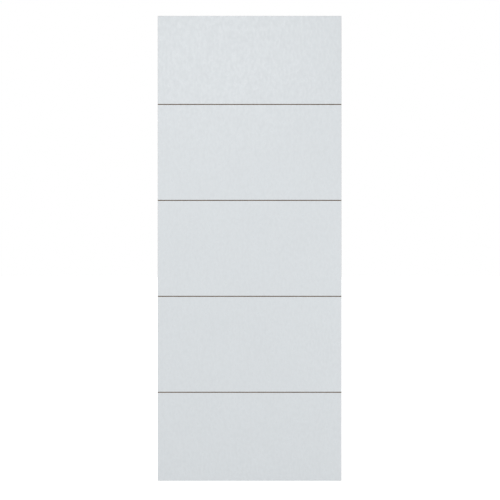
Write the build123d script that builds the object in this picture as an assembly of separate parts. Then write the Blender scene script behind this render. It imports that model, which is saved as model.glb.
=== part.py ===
from build123d import *
import os

# Flush door leaf: a softwood frame round a solid core, faced on both sides with a grooved MDF skin.
# Millimetres. The origin is at the foot of the hinge edge, at mid-thickness.
# +X runs across the leaf to the lock edge, +Z runs up, and the front faces -Y.

# Driving dimensions of the leaf and its frame
leaf_width = 830.0
leaf_height = 2100.0
leaf_thickness = 40.0
skin_thickness = 4.0
stile_width = 45.0
top_rail_height = 60.0
bottom_rail_height = 60.0

# Driving dimensions of the grooves, which are routed across the whole width of each skin
groove_count = 4
end_panel_height = 400.0  # from the leaf's end to the middle of the nearest groove
groove_width = 4.0  # across the mouth, at the skin's face
groove_floor_width = 1.2
groove_depth = 2.2

# Eased arris round the face of each skin
arris_radius = 0.8

# Places that follow from the driving dimensions
front_face_y = -leaf_thickness / 2
frame_depth = leaf_thickness - 2 * skin_thickness
lock_stile_x = leaf_width - stile_width
top_rail_z = leaf_height - top_rail_height
groove_pitch = (leaf_height - 2 * end_panel_height) / (groove_count - 1)
groove_heights = [end_panel_height + i * groove_pitch for i in range(groove_count)]


def framing_timber(x_from, x_to, z_from, z_to):
    """A planed piece between the two skins, as deep as the frame, from corner to corner."""
    blank = Box(x_to - x_from, frame_depth, z_to - z_from, align=(Align.MIN, Align.CENTER, Align.MIN))
    return Pos(x_from, 0, z_from) * blank


def groove_cutter():
    """The router's path across the skin: a tapered groove section carried over the whole width."""
    mouth_y = front_face_y
    floor_y = front_face_y + groove_depth
    section = Polygon(
        (mouth_y, -groove_width / 2),
        (floor_y, -groove_floor_width / 2),
        (floor_y, groove_floor_width / 2),
        (mouth_y, groove_width / 2),
        align=None,
    )
    return extrude(Plane.YZ * section, leaf_width)


def front_skin():
    """MDF sheet over the whole front, with its face edges eased and the grooves routed into it."""
    sheet = Pos(0, front_face_y, 0) * Box(
        leaf_width, skin_thickness, leaf_height, align=(Align.MIN, Align.MIN, Align.MIN)
    )
    face_edges = sheet.faces().sort_by(Axis.Y)[0].edges()
    sheet = fillet(face_edges, arris_radius)
    cutter = groove_cutter()
    for height in groove_heights:
        sheet -= Pos(0, 0, height) * cutter
    return sheet


def back_skin():
    """The back of the leaf is faced as the front is."""
    return mirror(front_skin(), about=Plane.XZ)


def leaf():
    """Every piece of the leaf by the name of its node."""
    return {
        "front_skin": front_skin(),
        "back_skin": back_skin(),
        "hinge_stile": framing_timber(0, stile_width, 0, leaf_height),
        "lock_stile": framing_timber(lock_stile_x, leaf_width, 0, leaf_height),
        "top_rail": framing_timber(stile_width, lock_stile_x, top_rail_z, leaf_height),
        "bottom_rail": framing_timber(stile_width, lock_stile_x, 0, bottom_rail_height),
        "core": framing_timber(stile_width, lock_stile_x, bottom_rail_height, top_rail_z),
    }


os.makedirs("parts", exist_ok=True)
for name, piece in leaf().items():
    export_step(piece, f"parts/{name}.step")
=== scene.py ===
# %% [markdown]
# A flush door leaf with four routed grooves. Such a leaf is a sandwich: a softwood frame round a solid
# core, with a thin sheet of MDF glued over each side. The sheets come already primed a cool white, and a
# router then cuts four lines across them, so every line shows the brown of the bare board. This lesson
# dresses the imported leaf. It rebuilds the sheets and the timbers as surfaces with eased edges, gives each
# its own finish, and sets up the camera and the light.

import bpy
import numpy as np
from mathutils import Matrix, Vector


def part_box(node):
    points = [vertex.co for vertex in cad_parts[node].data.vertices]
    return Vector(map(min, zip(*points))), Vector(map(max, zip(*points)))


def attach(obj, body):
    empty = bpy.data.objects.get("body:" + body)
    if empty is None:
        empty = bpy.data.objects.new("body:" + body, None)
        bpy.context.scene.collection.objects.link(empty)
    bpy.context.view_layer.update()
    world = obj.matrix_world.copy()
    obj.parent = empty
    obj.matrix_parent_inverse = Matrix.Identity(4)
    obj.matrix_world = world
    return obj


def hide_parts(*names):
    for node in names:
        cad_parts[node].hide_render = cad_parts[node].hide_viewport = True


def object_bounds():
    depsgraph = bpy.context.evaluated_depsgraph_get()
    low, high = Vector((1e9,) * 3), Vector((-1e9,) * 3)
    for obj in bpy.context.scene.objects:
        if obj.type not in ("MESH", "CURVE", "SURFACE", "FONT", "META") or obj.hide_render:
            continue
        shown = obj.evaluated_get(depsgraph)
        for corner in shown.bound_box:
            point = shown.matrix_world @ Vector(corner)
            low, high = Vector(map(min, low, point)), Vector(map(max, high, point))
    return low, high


MM = 0.001

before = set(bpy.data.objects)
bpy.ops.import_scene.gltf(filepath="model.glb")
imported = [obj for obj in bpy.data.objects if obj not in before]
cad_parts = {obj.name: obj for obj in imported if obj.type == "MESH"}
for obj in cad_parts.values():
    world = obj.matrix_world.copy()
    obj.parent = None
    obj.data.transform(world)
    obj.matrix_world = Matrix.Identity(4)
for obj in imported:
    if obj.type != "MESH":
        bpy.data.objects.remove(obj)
scene = bpy.context.scene
cad_low, cad_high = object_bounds()
leaf_width, leaf_thickness, leaf_height = cad_high - cad_low
print("nodes", sorted(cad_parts))
print("leaf", [round(size / MM, 1) for size in (leaf_width, leaf_height, leaf_thickness)], "mm")

# %% [markdown]
# The grooves are the one feature of this leaf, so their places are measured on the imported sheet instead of
# being typed in again. A corner point that lies well below the sheet's face, but above its glue side, can
# only be on the floor of a groove. Points nearer to the face belong to the eased edges.

# %% Measure the grooves of the front sheet
FLOOR_FROM = 0.3
FLOOR_TO = 0.9
FACE_WITHIN = 0.01 * MM
DECIMALS = 5


def mesh_points(mesh):
    """Places of a mesh's points: one row of x, y and z for each."""
    places = np.empty(len(mesh.vertices) * 3, np.float32)
    mesh.vertices.foreach_get("co", places)
    return places.reshape(-1, 3).astype(float)


def heights_of(points):
    """The different heights among some points, from low to high, to a hundredth of a millimetre."""
    return np.unique(np.round(points[:, 2], DECIMALS))


skin_low, skin_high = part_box("front_skin")
face_y = skin_low.y
skin_thickness = skin_high.y - skin_low.y
skin_points = mesh_points(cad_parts["front_skin"].data)
below_face = skin_points[:, 1] - face_y
on_floor = (below_face > FLOOR_FROM * skin_thickness) & (below_face < FLOOR_TO * skin_thickness)
groove_depth = below_face[on_floor].max()
floor_lines = heights_of(skin_points[on_floor]).reshape(-1, 2)
groove_heights = floor_lines.mean(axis=1)
floor_width = np.diff(floor_lines, axis=1).mean()
mouth_lines = heights_of(skin_points[below_face < FACE_WITHIN])
mouth_width = 2 * np.abs(mouth_lines - groove_heights[0]).min()
print("groove heights", np.round(groove_heights / MM, 1), "mm")
print("mouth, floor, depth", np.round(np.array([mouth_width, floor_width, groove_depth]) / MM, 2), "mm")

# %% [markdown]
# The leaf is seen square on, with no convergence, so the camera stands far back behind a long lens, at
# about half the leaf's height. Its distance follows from the width of the picture at the leaf's face: a
# square picture takes in a little more than the leaf's height.

# %% Place the camera
PICTURE_PIXELS = 500
LEAF_TOP_PIXEL = 15.85
LEAF_FOOT_PIXEL = 480.85
LEAF_MIDDLE_PIXEL = 249.6
LENS = 85.0

metres_per_pixel = leaf_height / (LEAF_FOOT_PIXEL - LEAF_TOP_PIXEL)
picture_width = PICTURE_PIXELS * metres_per_pixel
camera_data = bpy.data.cameras.new("camera")
camera_data.lens = LENS
camera = bpy.data.objects.new("camera", camera_data)
scene.collection.objects.link(camera)
camera_distance = picture_width * LENS / camera_data.sensor_width
camera_x = leaf_width / 2 + (PICTURE_PIXELS / 2 - LEAF_MIDDLE_PIXEL) * metres_per_pixel
camera_z = (LEAF_FOOT_PIXEL - PICTURE_PIXELS / 2) * metres_per_pixel
camera.location = (camera_x, face_y - camera_distance, camera_z)
camera.rotation_euler = Vector((0, 1, 0)).to_track_quat("-Z", "Y").to_euler()
bpy.context.scene.camera = camera
print("camera at", [round(value, 3) for value in camera.location])
print("picture", round(picture_width, 3), "m wide")

# %% [markdown]
# Every new piece here is a grid of points worked out with numpy. One helper lists the four-sided faces of a
# grid, and another makes the finished piece: mesh, material map, masks, soft shading with sharp edges, and
# its place on the leaf's one body. The map is named OFBake. A closed mesh has a signed volume: if it comes
# out below zero, the faces point inwards and are turned, and its size is printed in litres.

# %% Turn arrays into pieces
BODY = "root"
SHARP_ANGLE = np.radians(35)
LITRES_IN_CUBIC_METRE = 1000.0


def grid_faces(rows, columns):
    """Four-sided faces of a grid of points, numbered row after row: each face joins a point to the next in
    its row, the one above that, and the one above itself."""
    first = np.arange(rows * columns).reshape(rows, columns)
    corners = (first[:-1, :-1], first[:-1, 1:], first[1:, 1:], first[1:, :-1])
    return np.stack(corners, axis=-1).reshape(-1, 4)


def signed_volume(mesh):
    """Volume inside a closed mesh: the sum over its triangles of a . (b x c) / 6."""
    mesh.calc_loop_triangles()
    corners = np.empty(len(mesh.loop_triangles) * 3, np.int32)
    mesh.loop_triangles.foreach_get("vertices", corners)
    a, b, c = mesh_points(mesh)[corners.reshape(-1, 3)].transpose(1, 0, 2)
    return np.einsum("ij,ij->i", a, np.cross(b, c)).sum() / 6


def make_piece(name, points, quads, flats, corner_map, masks, node):
    """A finished piece from its points, its four-sided faces, its larger flat faces, a place on the
    material map for each corner of each face, and named masks with a value for each point."""
    mesh = bpy.data.meshes.new(name)
    mesh.from_pydata(points, [], [*quads.tolist(), *(flat.tolist() for flat in flats)])
    mesh.uv_layers.new(name="OFBake").data.foreach_set("uv", corner_map.astype(np.float32).ravel())
    for mask_name, values in masks.items():
        mask = mesh.attributes.new(mask_name, "FLOAT", "POINT")
        mask.data.foreach_set("value", values.astype(np.float32))
    mesh.polygons.foreach_set("use_smooth", np.ones(len(mesh.polygons), bool))
    if signed_volume(mesh) < 0:
        mesh.flip_normals()
    mesh.set_sharp_from_angle(angle=SHARP_ANGLE)
    piece = bpy.data.objects.new(name, mesh)
    scene.collection.objects.link(piece)
    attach(piece, BODY)
    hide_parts(node)
    litres = round(signed_volume(mesh) * LITRES_IN_CUBIC_METRE, 3)
    print(name, len(mesh.vertices), "points,", len(mesh.loop_triangles), "triangles,", litres, "litres")
    return piece


# %% [markdown]
# On the real leaf a sheet is 4 mm of MDF. A tapered cutter ran across it four times, and sandpaper then
# took the sharpness off its edges. It could be made with booleans and a bevel, but a sheet has one height
# at each place, so here it is a height field: the surface lies below the face by the largest of three
# formulas, one for the grooves, one for the eased edges and one for the long shallow waves that a glued
# sheet always has.

# %% Work out the heights of a grooved sheet
ARRIS = 0.8 * MM
MOUTH_EASING = 0.5 * MM
WAVE_HEIGHT = 0.06 * MM
WAVES_ACROSS_UP_PHASE = ((5.1, 3.3, 0.4), (-3.7, 6.9, 2.1), (8.3, 11.7, 4.0))


def smooth_max(a, b, width):
    """The larger of a and b, with the corner rounded: where they differ by less than the width, a parabola
    of that width takes the corner's place."""
    overlap = np.clip(1 - np.abs(a - b) / width, 0, 1)
    return np.maximum(a, b) + width * overlap**2 / 4


def groove_below(z):
    """Depth of the grooves at height z: a straight wall from the mouth's edge down to the floor's edge,
    level on the floor and on the face, with both corners rounded."""
    from_middle = np.abs(z[:, None] - groove_heights).min(axis=1)
    steepness = groove_depth / ((mouth_width - floor_width) / 2)
    wall = steepness * (mouth_width / 2 - from_middle)
    floored = -smooth_max(-wall, np.full_like(wall, -groove_depth), MOUTH_EASING)
    return smooth_max(floored, np.zeros_like(wall), MOUTH_EASING)


def arris_below(place, length):
    """Depth of the eased edges along one direction: a quarter circle within one radius of each end."""
    inside = np.clip(np.minimum(place, length - place), 0, ARRIS)
    return ARRIS - np.sqrt(ARRIS**2 - (ARRIS - inside) ** 2)


def waves_below(x, z):
    """Depth of the long waves: sine waves at different slants, added up and kept inside the face."""
    total = sum(np.sin(across * x + up * z + phase) for across, up, phase in WAVES_ACROSS_UP_PHASE)
    return WAVE_HEIGHT * (1 + total / len(WAVES_ACROSS_UP_PHASE)) / 2


print("a groove is", round(groove_below(groove_heights).max() / MM, 2), "mm below the face")

# %% [markdown]
# A height field needs a grid. An even one would need far too many lines to draw a groove of 4 mm on a leaf
# of 2 m, so the lines are packed close where the surface turns, in the grooves and round the eased edges,
# and spread where it is flat.

# %% Lay out the grid of a sheet
ARRIS_LINES = 7
GROOVE_MARGIN = 0.6 * MM
GROOVE_LINES = 45
PLAIN_SPACING = 20 * MM


def grid_lines(length, close_sets):
    """Places of grid lines: equal turns round the eased ends, the close sets, and even steps between."""
    end = ARRIS * (1 - np.cos(np.linspace(0, np.pi / 2, ARRIS_LINES)))
    sets = [end, *close_sets, length - end[::-1]]
    gaps = [(low[-1], high[0]) for low, high in zip(sets, sets[1:])]
    plain = [np.linspace(*gap, round((gap[1] - gap[0]) / PLAIN_SPACING) + 1)[1:-1] for gap in gaps]
    return np.sort(np.concatenate([*sets, *plain]))


groove_reach = mouth_width / 2 + GROOVE_MARGIN
over_groove = np.linspace(-groove_reach, groove_reach, GROOVE_LINES)
lines_across = grid_lines(leaf_width, [])
lines_up = grid_lines(leaf_height, [height + over_groove for height in groove_heights])
print("grid of", len(lines_across), "lines across and", len(lines_up), "lines up")

# %% [markdown]
# The material map lays a sheet out flat, so that a finish can be baked onto it. It could be unwrapped by
# Blender, but here every point's place is known already. The face gets most of the room, and the narrow
# grooves and edges are stretched, so that the line where the primer ends stays crisp.

# %% Map a sheet
FACE_ROOM = (0.06, 0.94)
FINE_STRETCH = 8.0
LINE_MARGIN = 0.01 * MM
GLUE_SIDE_ROOM = 0.04


def into_room(share, start, end):
    """A share from 0 to 1, laid into a stretch of the material map."""
    return start + share * (end - start)


def stretched(lines, grooves):
    """Share of the map at each grid line: the steps between lines are added up, and those in a groove or on
    an eased edge count several times."""
    from_groove = np.abs(lines[:, None] - grooves).min(axis=1, initial=np.inf)
    from_edge = np.minimum(lines, lines[-1] - lines)
    fine = (from_groove < groove_reach + LINE_MARGIN) | (from_edge < ARRIS + LINE_MARGIN)
    steps = np.diff(lines) * np.where(fine[:-1] & fine[1:], FINE_STRETCH, 1.0)
    return np.concatenate([[0], np.cumsum(steps)]) / steps.sum()


def sheet_map(quads, rim):
    """Place on the map of each face corner: the face fills the middle, each wall runs on from it to the
    border of the map, and the hidden glue side has a small corner."""
    shares = np.meshgrid(stretched(lines_across, np.array([])), stretched(lines_up, groove_heights))
    face_map = into_room(np.stack(shares, axis=-1).reshape(-1, 2), *FACE_ROOM)
    # The walls at the foot, right, top and left: the way each runs out, and the border that it reaches.
    lengths = [len(lines_across) - 1, len(lines_up) - 1] * 2
    direction = np.repeat([1, 0, 1, 0], lengths)
    border = np.repeat([0.0, 1.0, 1.0, 0.0], lengths)
    wall_map = face_map[np.stack([np.roll(rim, -1), rim, rim, np.roll(rim, -1)], axis=1)]
    wall = np.arange(len(rim))
    wall_map[wall, 2, direction] = border
    wall_map[wall, 3, direction] = border
    glue_map = face_map[rim[::-1]] * GLUE_SIDE_ROOM
    return np.concatenate([face_map[quads.ravel()], wall_map.reshape(-1, 2), glue_map])


print("a groove is mapped as if it were", round(np.ptp(over_groove) * FINE_STRETCH / MM, 1), "mm wide")

# %% [markdown]
# The height field is only the face. A second copy of its rim, laid on the glue plane, gives the walls: a
# strip of four-sided faces all the way round, so the grooves run out through the long edges as they do on
# the real leaf. One flat face then closes the glue side. One mask says where the primer is gone: in the
# grooves, which were cut after priming, and on the edges, which were sawn and sanded after it. Another says
# how deep in a groove a point lies, because the board is darker there: the cutter's scorch, and painted
# shade of the groove.

# %% Make the two primed sheets
PRIMER_LOST_OVER = 0.2 * MM


def once_round(number):
    """The border of a grid: along the foot, up the right side, back along the top, down the left side."""
    return np.concatenate([number[0, :-1], number[:-1, -1], number[-1, :0:-1], number[:0:-1, 0]])


def primed_sheet(name, node, side):
    """A sheet on the front (side -1) or the back (side 1): its face lies at side times half the thickness
    of the leaf less the depth, which is the largest of groove, eased edge and wave."""
    x, z = np.meshgrid(lines_across, lines_up)
    groove = np.broadcast_to(groove_below(lines_up)[:, None], x.shape)
    eased = np.maximum(arris_below(lines_across, leaf_width), arris_below(lines_up, leaf_height)[:, None])
    depth = np.maximum(np.maximum(groove, eased), waves_below(x, side * z))
    face = np.stack([x, side * (leaf_thickness / 2 - depth), z], axis=-1).reshape(-1, 3)

    rim = once_round(np.arange(x.size).reshape(x.shape))
    glue = face[rim]
    glue[:, 1] = side * (leaf_thickness / 2 - skin_thickness)
    glue_rim = x.size + np.arange(len(rim))
    quads = grid_faces(*x.shape)
    walls = np.stack([np.roll(rim, -1), rim, glue_rim, np.roll(glue_rim, -1)], axis=1)

    routed = np.clip(groove / PRIMER_LOST_OVER, 0, 1)
    sanded = np.sqrt(np.clip(eased / ARRIS, 0, 1))
    # The second mask rises with the depth in a groove and darkens the board there: painted groove shade and
    # the cutter's scorch.
    masks = {
        "bare": np.concatenate([np.maximum(routed, sanded).ravel(), np.ones(len(rim))]),
        "scorched_and_shaded": np.concatenate([np.clip(groove / groove_depth, 0, 1).ravel(), np.zeros(len(rim))]),
    }
    points, faces = np.concatenate([face, glue]), np.concatenate([quads, walls])
    corner_map = sheet_map(quads, rim)
    return make_piece(name, points, faces, [glue_rim[::-1]], corner_map, masks, node)


front_sheet = primed_sheet("primed_front_sheet", "front_skin", -1)
back_sheet = primed_sheet("primed_back_sheet", "back_skin", 1)

# %% [markdown]
# The frame has two stiles, which run the whole height, and two rails, which fit between them. They are
# planed softwood, so each could be a box with a bevel. Here it is a rounded rectangle carried along the
# grain: the corners are eased by a hair, and that hair draws the fine joint line between two pieces of
# wood. The ends are eased the same way, by drawing the section in over the last steps.

# %% Work out the section and the length of a timber
TIMBER_EASING = 0.4 * MM
EASING_LINES = 4
TIMBER_SPACING = 60 * MM
quarter_turn = np.linspace(0, np.pi / 2, EASING_LINES)


def rounded_section(half_sizes):
    """Points round a rectangle with eased corners: at each corner a quarter circle about a centre one
    radius inside it. The first two points are the ends of the outer side."""
    angle = np.pi / 2 * np.arange(4)[:, None] + quarter_turn
    signs = np.array([(1, 1), (-1, 1), (-1, -1), (1, -1)])
    centres = signs * (half_sizes - TIMBER_EASING)
    circles = TIMBER_EASING * np.stack([np.cos(angle), np.sin(angle)], axis=-1)
    return np.roll((centres[:, None] + circles).reshape(-1, 2), 1, axis=0)


def timber_stations(half_length):
    """Places along the grain, and how far the section is drawn in at each: over an eased end the place goes
    by the sine of a turn and the drawing-in by 1 less its cosine."""
    end = half_length - TIMBER_EASING * (1 - np.sin(quarter_turn))
    drawn_in = TIMBER_EASING * (1 - np.cos(quarter_turn))
    body = np.linspace(-end[0], end[0], round(2 * half_length / TIMBER_SPACING))[1:-1]
    places = np.concatenate([-end[::-1], body, end])
    return places, np.concatenate([drawn_in[::-1], np.zeros_like(body), drawn_in])


print("a stile has", len(timber_stations(leaf_height / 2)[0]), "sections of", 4 * EASING_LINES, "points")

# %% [markdown]
# Carried along the grain, the section gives one grid for the sides, and one flat face closes each end. On
# the material map the sides are unrolled, and the outer side, the only one that shows, gets most of the
# room.

# %% Make the stiles and the rails
OUTER_SHARE = 4.0
CAP_ROOM = 0.05
X_AXIS, Y_AXIS, Z_AXIS = np.eye(3)


def timber_map(sections, places, caps):
    """Place on the map of each face corner: the sides are unrolled with the outer one widened, and each end
    is laid flat in a strip above or below them."""
    rows, columns = sections.shape[:2]
    sides = np.linalg.norm(np.diff(sections[rows // 2], axis=0), axis=1)
    sides[0] *= OUTER_SHARE
    unrolled = np.concatenate([[0], np.cumsum(sides)]) / sides.sum()
    along = into_room((places - places[0]) / np.ptp(places), *FACE_ROOM)
    grid_map = np.stack(np.meshgrid(unrolled, along), axis=-1).reshape(-1, 2)
    side_map = grid_map[grid_faces(rows, columns).ravel()]
    cap_share = (sections[0, :-1] - sections[0].min(axis=0)) / np.ptp(sections[0], axis=0)
    foot_map = np.stack([cap_share[:, 0], cap_share[:, 1] * CAP_ROOM], axis=1)
    head_map = foot_map + (0, 1 - CAP_ROOM)
    return np.concatenate([side_map, foot_map[caps[0]], head_map[caps[1]]])


def planed_timber(name, node, outward, along):
    """A timber that fills its node's box: the rounded section, laid in the outward and the thickness
    direction, is carried along the grain and drawn in at both ends."""
    low, high = (np.array(corner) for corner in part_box(node))
    middle, half = (low + high) / 2, (high - low) / 2
    half_sizes = np.array([np.abs(outward) @ half, half[1]])
    places, drawn_in = timber_stations(np.abs(along) @ half)
    section = rounded_section(half_sizes)
    section = np.concatenate([section, section[:1]])
    sections = section * (1 - drawn_in[:, None, None] / half_sizes)
    points = middle + sections[..., :1] * outward + sections[..., 1:] * Y_AXIS
    points = points + places[:, None, None] * along

    rows, columns = sections.shape[:2]
    number = np.arange(rows * (columns - 1)).reshape(rows, columns - 1)
    number = np.concatenate([number, number[:, :1]], axis=1)
    quads = number.ravel()[grid_faces(rows, columns)]
    turn = np.arange(columns - 1)
    caps = (turn[::-1], turn)
    flats = [number[0][caps[0]], number[-1][caps[1]]]
    masks = {"end_grain": np.repeat(np.isclose(drawn_in, TIMBER_EASING), columns - 1)}
    corner_map = timber_map(sections, places, caps)
    points = points[:, :-1].reshape(-1, 3)
    return make_piece(name, points, quads, flats, corner_map, masks, node)


hinge_stile = planed_timber("planed_hinge_stile", "hinge_stile", -X_AXIS, Z_AXIS)
lock_stile = planed_timber("planed_lock_stile", "lock_stile", X_AXIS, Z_AXIS)
top_rail = planed_timber("planed_top_rail", "top_rail", Z_AXIS, X_AXIS)
bottom_rail = planed_timber("planed_bottom_rail", "bottom_rail", -Z_AXIS, X_AXIS)

# %% [markdown]
# A finish is a formula over the surface: where the primer is thin, where a growth ring is dark. Nodes can
# be wired by hand, but a formula is easier to read as one line of Python. So a small class wraps a socket,
# and each operator on it adds a Math node.


# %% Give sockets Python's operators
class Socket:
    """One output of a node. An operator on it adds a Math node to the same finish and gives its output."""

    def __init__(self, finish, output):
        self.finish = finish
        self.output = output

    def other(self, name):
        """Another output of the same node."""
        return Socket(self.finish, self.output.node.outputs[name])

    def rise(self, start, end):
        """0 up to the start, 1 from the end on, and a smooth step between them."""
        limits = {"Value": self, "From Min": start, "From Max": end}
        return self.finish.node("ShaderNodeMapRange", {"interpolation_type": "SMOOTHSTEP"}, limits)

    def swing(self, amount):
        """A swing about 0: the value less a half, times the amount."""
        return (self - 0.5) * amount

    def __add__(self, value):
        return self.finish.math("ADD", self, value)

    def __sub__(self, value):
        return self.finish.math("SUBTRACT", self, value)

    def __rsub__(self, value):
        return self.finish.math("SUBTRACT", value, self)

    def __mul__(self, value):
        return self.finish.math("MULTIPLY", self, value)

    def __truediv__(self, value):
        return self.finish.math("DIVIDE", self, value)

    def __pow__(self, value):
        return self.finish.math("POWER", self, value)

    __radd__ = __add__
    __rmul__ = __mul__


# %% [markdown]
# A second class holds the node tree that the sockets belong to. One method adds any node: its settings come
# first, because they decide which sockets it has. Colours don't go through Math nodes, which would turn
# them grey, but through Mix nodes, and a Mapping node stretches places. A number that is the same all over
# is set on the shader's own socket.


# %% Gather the nodes of a finish
class Finish:
    """The nodes of a material, or of the sky, in the making."""

    def __init__(self, owner):
        owner.use_nodes = True
        self.owner = owner
        self.tree = owner.node_tree
        self.shader = next(node for node in self.tree.nodes if node.outputs)

    def node(self, kind, settings=None, inputs=None, output=None):
        """Adds a node of that type: its settings are set first, then each input is set or linked. Of several
        sockets with one name, the one in use is meant."""
        made = self.tree.nodes.new(kind)
        for name, value in (settings or {}).items():
            setattr(made, name, value)
        for name, value in (inputs or {}).items():
            found = [socket for socket in made.inputs if socket.enabled and socket.name == name]
            self.feed(found[0] if found else made.inputs[name], value)
        shown = [socket for socket in made.outputs if socket.enabled]
        return Socket(self, made.outputs[output] if output else shown[0])

    def feed(self, socket, value):
        """Links a socket to an input, or sets the input to a number, colour or vector."""
        if isinstance(value, Socket):
            self.tree.links.new(value.output, socket)
        else:
            socket.default_value = value

    def finished(self, values):
        """Feeds the shader's inputs by their names, and gives the finished material or sky."""
        for name, value in values.items():
            self.feed(self.shader.inputs[name], value)
        print(self.owner.name, len(self.tree.nodes), "nodes")
        return self.owner

    def math(self, operation, *values):
        """A Math node on up to three values."""
        return self.node("ShaderNodeMath", {"operation": operation}, dict(enumerate(values)))

    def mix(self, share, colour_a, colour_b, blend="MIX"):
        """Colour a where the share is 0 and colour b, blended onto it, where the share is 1."""
        settings = {"data_type": "RGBA", "blend_type": blend}
        return self.node("ShaderNodeMix", settings, {"Factor": share, "A": colour_a, "B": colour_b})

    def shaded(self, colour, level):
        """A colour multiplied by a level that changes over the surface."""
        levels = self.node("ShaderNodeCombineColor", {}, {"Red": level, "Green": level, "Blue": level})
        return self.mix(1.0, colour, levels, "MULTIPLY")

    def noise(self, place, size, stretch=(1, 1, 1), detail=3.0, rough=0.5, seed=0.0):
        """Cloudy noise from 0 to 1 with features of about that size, longer along an axis whose stretch is
        below 1."""
        pulled = self.node("ShaderNodeMapping", {}, {"Vector": place, "Scale": stretch})
        shape = {"Vector": pulled, "W": seed, "Scale": 1 / size, "Detail": detail, "Roughness": rough}
        return self.node("ShaderNodeTexNoise", {"noise_dimensions": "4D"}, shape)

    def mask(self, name):
        """A mask that is stored on the piece's points."""
        return self.node("ShaderNodeAttribute", {"attribute_name": name}, output="Fac")

    def relief(self, height):
        """A height in metres, as a bump."""
        return self.node("ShaderNodeBump", {}, {"Height": height, "Distance": 1.0})


# %% [markdown]
# Primer is sprayed on and levels out as it dries, but never fully: it keeps a faint orange-peel relief,
# drawn out a little downwards because the sheet dried upright. It hardly shows in even light, and breaks up
# the sheen where a lamp is reflected. The relief could be modelled, but it is only a fraction of a
# millimetre high, so it is bump, from noise of three sizes, which also change the tone and the sheen a
# little.

# %% Describe the primer
PRIMER_WHITE = (0.705, 0.740, 0.764, 1.0)
PRIMER_ROUGHNESS = 0.33
DRAWN_DOWN = (1, 1, 0.6)
PEEL_SIZE = 11.5 * MM
PEEL_HEIGHT = 0.62 * MM
PEEL_TONE = -0.07
PEEL_ROUGHNESS = 0.23
RIPPLE_SIZE = 2.6 * MM
RIPPLE_HEIGHT = 0.06 * MM
RIPPLE_TONE = 0.05
STIPPLE_SIZE = 0.8 * MM
STIPPLE_HEIGHT = 0.03 * MM
STIPPLE_TONE = 0.06
STIPPLE_ROUGHNESS = 0.10
COAT_SIZE = 160 * MM
COAT_TONE = 0.03


def primer(finish, place):
    """Colour, roughness and height of the primer: its white and its roughness swing with the noises, and
    its height is their sum, each times its own height."""
    peel = finish.noise(place, PEEL_SIZE, stretch=DRAWN_DOWN, detail=0, seed=1.3)
    ripple = finish.noise(place, RIPPLE_SIZE, stretch=DRAWN_DOWN, detail=2, seed=3.1)
    stipple = finish.noise(place, STIPPLE_SIZE, detail=2)
    coat = finish.noise(place, COAT_SIZE, seed=2.6)
    # The ripple and stipple tone follows their relief: darker where it dips and lighter where it rises.
    darker_in_dips = ripple.swing(RIPPLE_TONE) + stipple.swing(STIPPLE_TONE)
    tone = 1 + peel.swing(PEEL_TONE) + coat.swing(COAT_TONE) + darker_in_dips
    roughness = PRIMER_ROUGHNESS + peel.swing(PEEL_ROUGHNESS) + stipple.swing(STIPPLE_ROUGHNESS)
    height = peel * PEEL_HEIGHT + ripple * RIPPLE_HEIGHT + stipple * STIPPLE_HEIGHT
    return finish.shaded(PRIMER_WHITE, tone), roughness, height


print("primer in lumps of", round(PEEL_SIZE / MM, 1), "mm")

# %% [markdown]
# Where the primer is gone, bare board shows: brown, fibrous and quite without shine. In a groove the board
# is painted darker the deeper it lies: this is the groove's shade, painted into the colour, together with
# the cutter's scorch in patches and in fine streaks along the cut. So the darkening is a share that rises
# with the depth and is uneven from place to place.

# %% Describe the bare board
BOARD_BROWN = (0.300, 0.190, 0.095, 1.0)
BOARD_PALE = (0.470, 0.330, 0.185, 1.0)
# Dark brown of the deepest groove: painted shade of the groove together with the cutter's scorch.
SCORCHED_AND_SHADED_BROWN = (0.092, 0.042, 0.011, 1.0)
BOARD_ROUGHNESS = 0.92
ALONG_FIBRE = (0.35, 1, 1)
ALONG_CUT = (0.03, 1, 1)
BOARD_FIBRE_SIZE = 0.5 * MM
BOARD_FIBRE_HEIGHT = 0.05 * MM
CUT_MARK_SIZE = 0.6 * MM
CLEAR_STREAKS = (0.3, 0.7)
SCORCH_AND_SHADE_SIZE = 45 * MM
SCORCH_AND_SHADE_WITHIN = (0.0, 0.30)
SCORCH_AND_SHADE_LEAST = 0.62
SCORCH_AND_SHADE_IN_PATCHES = 0.32
SCORCH_AND_SHADE_IN_STREAKS = 0.24


def bare_board(finish, place, groove):
    """Colour and height of the board: two browns, mixed by its fibre, then darkened by painted groove shade
    and scorch.
    """
    fibre = finish.noise(place, BOARD_FIBRE_SIZE, stretch=ALONG_FIBRE, detail=5, rough=0.7)
    fibre = fibre.rise(*CLEAR_STREAKS)
    cut_mark = finish.noise(place, CUT_MARK_SIZE, stretch=ALONG_CUT, seed=7.2).rise(*CLEAR_STREAKS)
    # Deeper in a groove the board darkens: painted shade of the groove with the cutter's scorch, uneven in
    # patches and streaks.
    patch = finish.noise(place, SCORCH_AND_SHADE_SIZE, seed=4.4)
    uneven = SCORCH_AND_SHADE_LEAST + patch * SCORCH_AND_SHADE_IN_PATCHES + cut_mark * SCORCH_AND_SHADE_IN_STREAKS
    scorch_and_shade = groove.rise(*SCORCH_AND_SHADE_WITHIN) * uneven
    brown = finish.mix(fibre, BOARD_BROWN, BOARD_PALE)
    height = (fibre + cut_mark * groove) * BOARD_FIBRE_HEIGHT
    return finish.mix(scorch_and_shade, brown, SCORCHED_AND_SHADED_BROWN), height


print("scorched in patches of", round(SCORCH_AND_SHADE_SIZE / MM), "mm")

# %% [markdown]
# Where the coat ends, its edge is never quite straight: a router tears a few fibres and a sanding block
# cuts through unevenly. So noise shifts the sheet's mask before a smooth step sharpens it, and the result
# says how much of the board and how much of the primer there is at each place.

# %% Finish the sheets
TEAR_SIZE = 2.5 * MM
TEAR_SHIFT = 0.5
COAT_EDGE = (0.42, 0.58)


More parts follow.
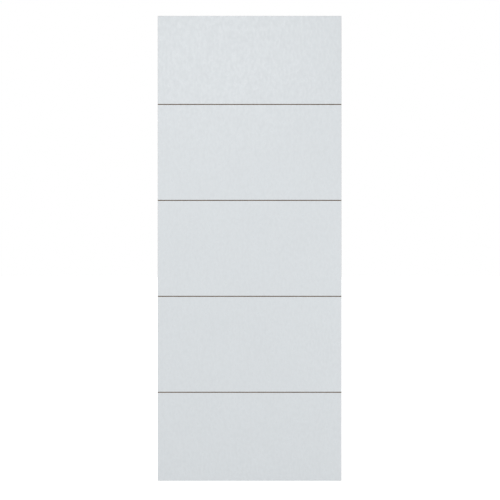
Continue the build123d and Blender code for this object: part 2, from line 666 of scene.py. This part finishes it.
def primed_board():
    """Cool white primer over brown board, with the board showing wherever the sheet's mask says bare."""
    finish = Finish(bpy.data.materials.new("primed_board"))
    place = finish.node("ShaderNodeTexCoord", output="Object")
    torn = finish.noise(place, TEAR_SIZE, detail=4)
    board = (finish.mask("bare") + torn.swing(TEAR_SHIFT)).rise(*COAT_EDGE)
    white, sheen, primer_height = primer(finish, place)
    brown, board_height = bare_board(finish, place, finish.mask("scorched_and_shaded"))
    return finish.finished({
        "Base Color": finish.mix(board, white, brown),
        "Roughness": sheen + (BOARD_ROUGHNESS - sheen) * board,
        "Normal": finish.relief(primer_height * (1 - board) + board_height * board),
    })


primed_finish = primed_board()
for sheet in (front_sheet, back_sheet):
    sheet.data.materials.append(primed_finish)

# %% [markdown]
# Frame timbers for a leaf like this are made of short lengths of pine, glued end to end with saw-tooth
# fingers. A triangle wave across the thickness shifts the place where one length ends, which draws the
# fingers. Each length comes from another tree, so each gets three random numbers of its own.

# %% Join lengths of pine
LENGTH_OF_BLOCK = 0.43
FINGER_LENGTH = 10 * MM
FINGER_PITCH = 8 * MM
GLUE_LINE = (0.25 * MM, 0.75 * MM)


def finger_joints(finish, grain, thick, start):
    """Three random numbers for each length, and a mask of the glue: a length ends where the place along the
    grain, shifted by the fingers and counted in lengths, is a whole number."""
    half_pitch = FINGER_PITCH / 2
    fingers = finish.math("PINGPONG", thick + half_pitch, half_pitch) / half_pitch
    blocks = (grain + fingers * FINGER_LENGTH) / LENGTH_OF_BLOCK + start
    from_joint = finish.math("PINGPONG", blocks, 0.5) * LENGTH_OF_BLOCK
    block = finish.math("FLOOR", blocks)
    colour = finish.node("ShaderNodeTexWhiteNoise", {"noise_dimensions": "1D"}, {"W": block}, "Color")
    red = finish.node("ShaderNodeSeparateColor", {}, {"Color": colour}, "Red")
    return (red, red.other("Green"), red.other("Blue")), 1 - from_joint.rise(*GLUE_LINE)


print("a stile is", round(leaf_height / LENGTH_OF_BLOCK, 1), "lengths of pine")

# %% [markdown]
# Wood is a solid pattern: rings round the heart of the tree, long along the grain. It could be painted on
# each side, but worked out in all three directions the ends show rings where the sides show stripes,
# without any extra work. A length's random numbers move the heart, turn the length round and widen or
# narrow its rings, because no two trees grew alike.

# %% Grow the rings
RING_SIZE = 3.2 * MM
SLOWEST_GROWTH = 0.7
GROWTH_SPREAD = 0.8
HEART_DEPTH = 30 * MM
HEART_DEPTH_SPREAD = 100 * MM
HEART_ASIDE = 12 * MM
HEART_ASIDE_SPREAD = 50 * MM
SWAY_REACH = 12 * MM
LATE_WOOD_GROWS = (0.32, 0.88)
LATE_WOOD_STOPS = (0.93, 1.0)


def late_wood(finish, deep, thick, sway, chances):
    """Share of dark late wood: the distance from the heart, divided by the size of a ring, gives the place
    within a ring, and the share rises along the ring and drops at its end."""
    deeper, aside, fast_grown = chances
    turned = finish.math("SIGN", aside - 0.5)
    heart_deep = deep + deeper.swing(HEART_DEPTH_SPREAD) + HEART_DEPTH
    heart_thick = thick * turned + HEART_ASIDE + aside * HEART_ASIDE_SPREAD
    distance = (heart_deep * heart_deep + heart_thick * heart_thick) ** 0.5 + sway * SWAY_REACH
    growth = RING_SIZE * (SLOWEST_GROWTH + fast_grown * GROWTH_SPREAD)
    ring = finish.math("FRACT", distance / growth)
    return ring.rise(*LATE_WOOD_GROWS) * (1 - ring.rise(*LATE_WOOD_STOPS))


print("rings of about", round(RING_SIZE / MM, 1), "mm")

# %% [markdown]
# Close up, wood is made of fibres, and pine also has resin canals, which planing opens as fine dark streaks.
# They could be drawn one by one, but noise that is stretched along the grain gives both in one go: a gentle
# step leaves the fibres, and a steep one near the top leaves only a few canals.

# %% Add fibres and resin canals
GRAIN_STRETCH = 0.05
PINE_FIBRE_SIZE = 0.5 * MM
PINE_FIBRES = (0.28, 0.72)
CANAL_STRETCH = 0.025
CANAL_SIZE = 0.9 * MM
CANALS = (0.70, 0.76)


def along_grain(grain_axis, stretch):
    """Stretch of a noise along x, y and z: the given one along the grain, and 1 across it."""
    return tuple(stretch if axis == grain_axis else 1.0 for axis in "XYZ")


def fine_grain(finish, place, grain_axis, seed):
    """Masks of fibres and of canals: each is a noise, stretched along the grain, and a smooth step."""
    long, longer = along_grain(grain_axis, GRAIN_STRETCH), along_grain(grain_axis, CANAL_STRETCH)
    fibre = finish.noise(place, PINE_FIBRE_SIZE, stretch=long, detail=5, rough=0.62)
    canal = finish.noise(place, CANAL_SIZE, stretch=longer, detail=1, seed=seed)
    return fibre.rise(*PINE_FIBRES), canal.rise(*CANALS)


print("canals about", round(CANAL_SIZE / CANAL_STRETCH / MM), "mm long")

# %% [markdown]
# All this comes together in the finish of a timber, with glue in the joints and, on the ends, darker wood
# that shows the marks of the saw. A length that grew fast is paler. The two stiles share one finish and the
# two rails another, because their grain runs another way. So depth is counted from the nearer side of the
# leaf, and the far timber of a pair starts its lengths elsewhere, which keeps it from being a mirror image.

# %% Finish the timbers
PINE_PALE = (0.640, 0.440, 0.235, 1.0)
PINE_LATE = (0.400, 0.205, 0.075, 1.0)
LATE_SHARE = 0.82
FAR_SHIFT = 7.6
SWAY_SIZE = 35 * MM
DARKEST_TREE = 0.86
TREE_TONE = 0.22
FIBRE_TONE = 0.20
CANAL_DARKENS = 0.32
GLUE_DARKENS = 0.45
END_DARKENS = 0.28
PINE_ROUGHNESS = 0.62
FIBRE_ROUGHENS = 0.18
END_ROUGHENS = 0.12
GRAIN_HEIGHT = 0.03 * MM
SAW_MARK = 1.7 * MM
SAW_SLANT = 0.35
SAW_HEIGHT = 0.08 * MM


def jointed_pine(name, grain_axis, depth_axis, span, seed):
    """Pine with its grain along one axis: a pale and a dark wood, mixed by the late wood, times a tone for
    each length that fibres, canals, glue and end grain change."""
    finish = Finish(bpy.data.materials.new(name))
    place = finish.node("ShaderNodeTexCoord", output="Object")
    axes = finish.node("ShaderNodeSeparateXYZ", {}, {"Vector": place}, "X")
    grain, side, thick = axes.other(grain_axis), axes.other(depth_axis), axes.other("Y")
    deep = finish.math("PINGPONG", side, span / 2)
    far = finish.math("GREATER_THAN", side, span / 2)
    chances, glue = finger_joints(finish, grain, thick, far * FAR_SHIFT + seed)
    fast_grown = chances[-1]
    sway = finish.noise(place, SWAY_SIZE, stretch=along_grain(grain_axis, GRAIN_STRETCH), seed=seed)
    late = late_wood(finish, deep, thick, sway, chances)
    fibre, canal = fine_grain(finish, place, grain_axis, seed)
    end_grain = finish.mask("end_grain")
    saw = finish.math("PINGPONG", deep + thick * SAW_SLANT, SAW_MARK / 2) / SAW_MARK

    tone = DARKEST_TREE + fast_grown * TREE_TONE + fibre.swing(FIBRE_TONE)
    darkened = (1 - canal * CANAL_DARKENS) * (1 - glue * GLUE_DARKENS) * (1 - end_grain * END_DARKENS)
    wood = finish.mix(late * LATE_SHARE, PINE_PALE, PINE_LATE)
    return finish.finished({
        "Base Color": finish.shaded(wood, tone * darkened),
        "Roughness": PINE_ROUGHNESS + fibre * FIBRE_ROUGHENS + end_grain * END_ROUGHENS,
        "Normal": finish.relief((fibre + late) * GRAIN_HEIGHT + saw * end_grain * SAW_HEIGHT),
    })


upright_pine = jointed_pine("upright_pine", "Z", "X", span=leaf_width, seed=0.37)
level_pine = jointed_pine("level_pine", "X", "Z", span=leaf_height, seed=5.61)
for timber, pine in ((hinge_stile, upright_pine), (lock_stile, upright_pine),
                     (top_rail, level_pine), (bottom_rail, level_pine)):
    timber.data.materials.append(pine)

# %% [markdown]
# The core is pressed from wood chips. It is closed in on all sides, so it needs no new shape, but whoever
# takes the leaf apart finds a real material: flat chips, each of its own brown, which are the cells of a
# Voronoi pattern squeezed along the thickness, with fine wood dust over them.

# %% Finish the core
CHIP_DARK = (0.300, 0.185, 0.095, 1.0)
CHIP_PALE = (0.600, 0.430, 0.255, 1.0)
CHIP_SIZE = 5 * MM
CHIP_HEIGHT = 0.3 * MM
PRESSED_FLAT = (1, 3.5, 1)
DUST_SIZE = 1.2 * MM
DUST_HEIGHT = 0.2 * MM
DUST_SHARE = 0.2
CORE_ROUGHNESS = 0.80
DUST_ROUGHENS = 0.15


def particleboard():
    """Flat chips: each cell takes a random share between a dark and a pale brown, and a random height."""
    finish = Finish(bpy.data.materials.new("particleboard"))
    place = finish.node("ShaderNodeTexCoord", output="Object")
    flat = finish.node("ShaderNodeMapping", {}, {"Vector": place, "Scale": PRESSED_FLAT})
    colour = finish.node("ShaderNodeTexVoronoi", {}, {"Vector": flat, "Scale": 1 / CHIP_SIZE}, "Color")
    red = finish.node("ShaderNodeSeparateColor", {}, {"Color": colour}, "Red")
    dust = finish.noise(place, DUST_SIZE, detail=4)
    share = red * (1 - DUST_SHARE) + dust * DUST_SHARE
    return finish.finished({
        "Base Color": finish.mix(share, CHIP_DARK, CHIP_PALE),
        "Roughness": CORE_ROUGHNESS + dust * DUST_ROUGHENS,
        "Normal": finish.relief(red.other("Green") * CHIP_HEIGHT + dust * DUST_HEIGHT),
    })


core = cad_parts["core"]
core.data.materials.clear()
core.data.materials.append(particleboard())

# %% [markdown]
# The picture is a plain cut-out on white, so the studio has a white sky, which gives most of the light,
# evenly from everywhere. Paper white needs more light than the leaf may get, so the sky looks brighter to
# the camera than it shines on the leaf: a Light Path node tells the two kinds of ray apart. The colours
# should come out as they are on the surface, so the view transform is the standard one.

# %% Open the white sky
WHITE = (1.0, 1.0, 1.0, 1.0)
PAPER_WHITE = 1.0
SKY_LIGHT = 0.735


def seen_or_shone(finish, seen, shone):
    """One level for what the camera sees, and another for what shines on the leaf."""
    camera_ray = finish.node("ShaderNodeLightPath", output="Is Camera Ray")
    return finish.node("ShaderNodeMapRange", {}, {"Value": camera_ray, "To Min": shone, "To Max": seen})


scene.view_settings.view_transform = "Standard"
sky = Finish(bpy.data.worlds.new("white_sky"))
scene.world = sky.finished({"Color": WHITE, "Strength": seen_or_shone(sky, PAPER_WHITE, SKY_LIGHT)})

# %% [markdown]
# The floor is one large pale square. A floor that only reflects would darken the foot of the leaf, because
# the leaf keeps the sky off it there. So this one also shines by itself, like a light table, and as with
# the sky, it looks brighter to the camera than it shines on the leaf.

# %% Lay the floor
FLOOR_HALF = 40.0
FLOOR_PALE = (0.25, 0.25, 0.25, 1.0)
FLOOR_LIGHT = 0.498

floor_mesh = bpy.data.meshes.new("pale_floor")
floor_corners = FLOOR_HALF * np.array([(-1, -1, 0), (1, -1, 0), (1, 1, 0), (-1, 1, 0)])
floor_mesh.from_pydata(floor_corners, [], [(0, 1, 2, 3)])
floor = bpy.data.objects.new("pale_floor", floor_mesh)
scene.collection.objects.link(floor)
floor_finish = Finish(bpy.data.materials.new("pale_floor"))
floor_mesh.materials.append(floor_finish.finished({
    "Base Color": FLOOR_PALE,
    "Roughness": 1.0,
    "Specular IOR Level": 0.0,
    "Emission Color": seen_or_shone(floor_finish, PAPER_WHITE, FLOOR_LIGHT),
    "Emission Strength": 1.0,
}))

# %% [markdown]
# Three soft lamps add what even light lacks. One is above the camera, a little to the left, and its
# reflection is the sheen on the top panel. The others are on the left and low on the right, and let the
# face fall off slowly towards its foot. Each could be aimed by hand, but a tracking rotation turns it to
# the middle of the face wherever it stands.

# %% Hang the lamps
LEAF_MIDDLE = Vector((leaf_width / 2, face_y, leaf_height / 2))


def soft_lamp(name, across, ahead, up, width, height, watts):
    """A flat lamp in front of the leaf, turned to the middle of its face."""
    data = bpy.data.lights.new(name, "AREA")
    data.shape = "RECTANGLE"
    data.size = width
    data.size_y = height
    data.energy = watts
    lamp = bpy.data.objects.new(name, data)
    scene.collection.objects.link(lamp)
    lamp.location = (across, face_y - ahead, up)
    lamp.rotation_euler = (LEAF_MIDDLE - lamp.location).to_track_quat("-Z", "Y").to_euler()
    print(name, watts, "W at", [round(value, 2) for value in lamp.location])


soft_lamp("high_lamp", across=0.20, ahead=4.5, up=2.75, width=1.5, height=0.9, watts=15.5)
soft_lamp("left_lamp", across=-1.5, ahead=3.0, up=1.7, width=1.2, height=1.2, watts=14.0)
soft_lamp("right_lamp", across=2.2, ahead=3.4, up=0.6, width=1.2, height=1.2, watts=17.3)
